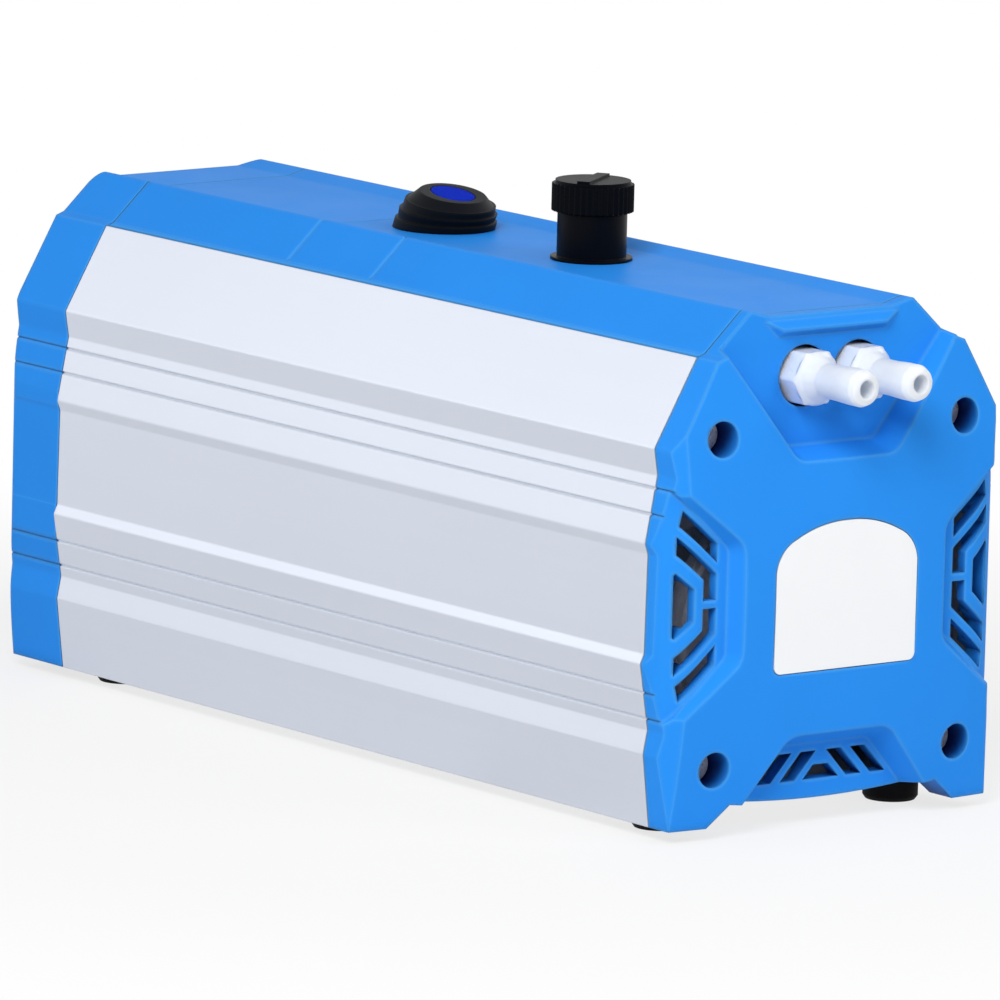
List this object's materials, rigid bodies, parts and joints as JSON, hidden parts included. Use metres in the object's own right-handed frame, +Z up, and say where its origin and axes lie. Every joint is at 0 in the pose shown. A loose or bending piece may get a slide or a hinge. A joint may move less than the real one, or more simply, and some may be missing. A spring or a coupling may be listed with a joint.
{
  "type": "diaphragm vacuum pump",
  "caption": "One-head laboratory diaphragm vacuum pump in a ribbed aluminium and blue plastic housing, with hose nozzles, switch and regulating knob.",
  "frame": {"origin": "bottom centre of the bounding box, on the floor under the rubber feet", "axes": "+Z up, +Y from the front cap with the hose nozzles towards the rear cap, +X to the right seen from the front"},
  "size_m": [0.112, 0.313, 0.1543],
  "materials": {
    "blue_plastic": "satin, fine moulded grain",
    "anodised_aluminium": "bead-blasted and clear anodised",
    "zinc_sheet": "zinc-plated sheet",
    "label_white": "satin, bare",
    "screw_steel": "zinc-plated",
    "black_rubber": "matt",
    "dome_rubber": "satin",
    "button_blue": "gloss",
    "black_plastic": "satin",
    "knob_plastic": "satin",
    "valve_black": "satin black",
    "turned_steel": "turned and ground",
    "silicone_hose": "translucent satin",
    "nozzle_plastic": "translucent natural, satin",
    "contact_brass": "bright",
    "cast_alloy": "cast, as blasted",
    "elastomer": "matt",
    "motor_iron": "varnished laminations",
    "winding_copper": "varnished copper wire",
    "capacitor_shell": "smooth"
  },
  "bodies": {
    "housing": {"front_cap": "blue_plastic", "rear_cap": "blue_plastic", "top_cover": "blue_plastic", "right_side_panel": "anodised_aluminium", "left_side_panel": "anodised_aluminium", "base_plate": "zinc_sheet", "capacitor_clip": "zinc_sheet", "label_plate": "label_white", "cap_screws": "screw_steel", "mains_inlet_screws": "screw_steel", "foot_screws": "screw_steel", "foot_nuts": "screw_steel", "buffer_bolts": "screw_steel", "head_screws": "screw_steel", "motor_tie_bolts": "screw_steel", "rubber_feet": "black_rubber", "rubber_buffers": "black_rubber", "switch_boot": "dome_rubber", "switch_body": "black_plastic", "switch_nut": "black_plastic", "mains_inlet": "black_plastic", "regulator_nut": "black_plastic", "regulator_body": "valve_black", "motor_bearing_outer_rings": "turned_steel", "regulator_hose": "silicone_hose", "inlet_nozzle": "nozzle_plastic", "outlet_nozzle": "nozzle_plastic", "mains_inlet_pins": "contact_brass", "head_cover": "cast_alloy", "head_plate": "cast_alloy", "crankcase": "cast_alloy", "crankcase_cover": "cast_alloy", "front_motor_shield": "cast_alloy", "rear_motor_shield": "cast_alloy", "diaphragm": "elastomer", "valve_sheet": "elastomer", "motor_stator": "motor_iron", "motor_windings": "winding_copper", "motor_capacitor": "capacitor_shell", "terminal_block": "capacitor_shell"},
    "button": {"switch_button": "button_blue"},
    "knob": {"regulator_knob": "knob_plastic", "regulator_spindle": "turned_steel"},
    "crankshaft": {"motor_shaft": "turned_steel", "eccentric": "turned_steel", "rod_bearing_inner_ring": "turned_steel", "motor_bearing_inner_rings": "turned_steel", "motor_rotor": "motor_iron", "cooling_fan": "black_plastic"},
    "rod": {"connecting_rod": "turned_steel", "rod_bearing_outer_ring": "turned_steel", "clamp_disc": "cast_alloy", "clamp_screw": "screw_steel"}
  },
  "joints": [
    {"name": "button_press", "type": "slide", "parent": "housing", "child": "button", "axis": [0, 0.1736, -0.9848], "range_m": [0, 0.0015], "stiffness_N_per_m": 600, "springref_m": -0.001},
    {"name": "knob_turn", "type": "hinge", "parent": "housing", "child": "knob", "pos_m": [0, -0.03095, 0.1456], "axis": [0, 0, 1], "range_deg": [-150, 150]},
    {"name": "shaft_spin", "type": "hinge", "parent": "housing", "child": "crankshaft", "pos_m": [0, -0.08655, 0.0478], "axis": [0, 1, 0], "continuous": true, "deforming": ["diaphragm"]},
    {"name": "rod_turn", "type": "hinge", "parent": "crankshaft", "child": "rod", "pos_m": [0, -0.08655, 0.0453], "axis": [0, 1, 0], "continuous": true}
  ],
  "couplings": [
    {"joint": "rod_turn", "follows": "shaft_spin", "ratio": -1}
  ]
}
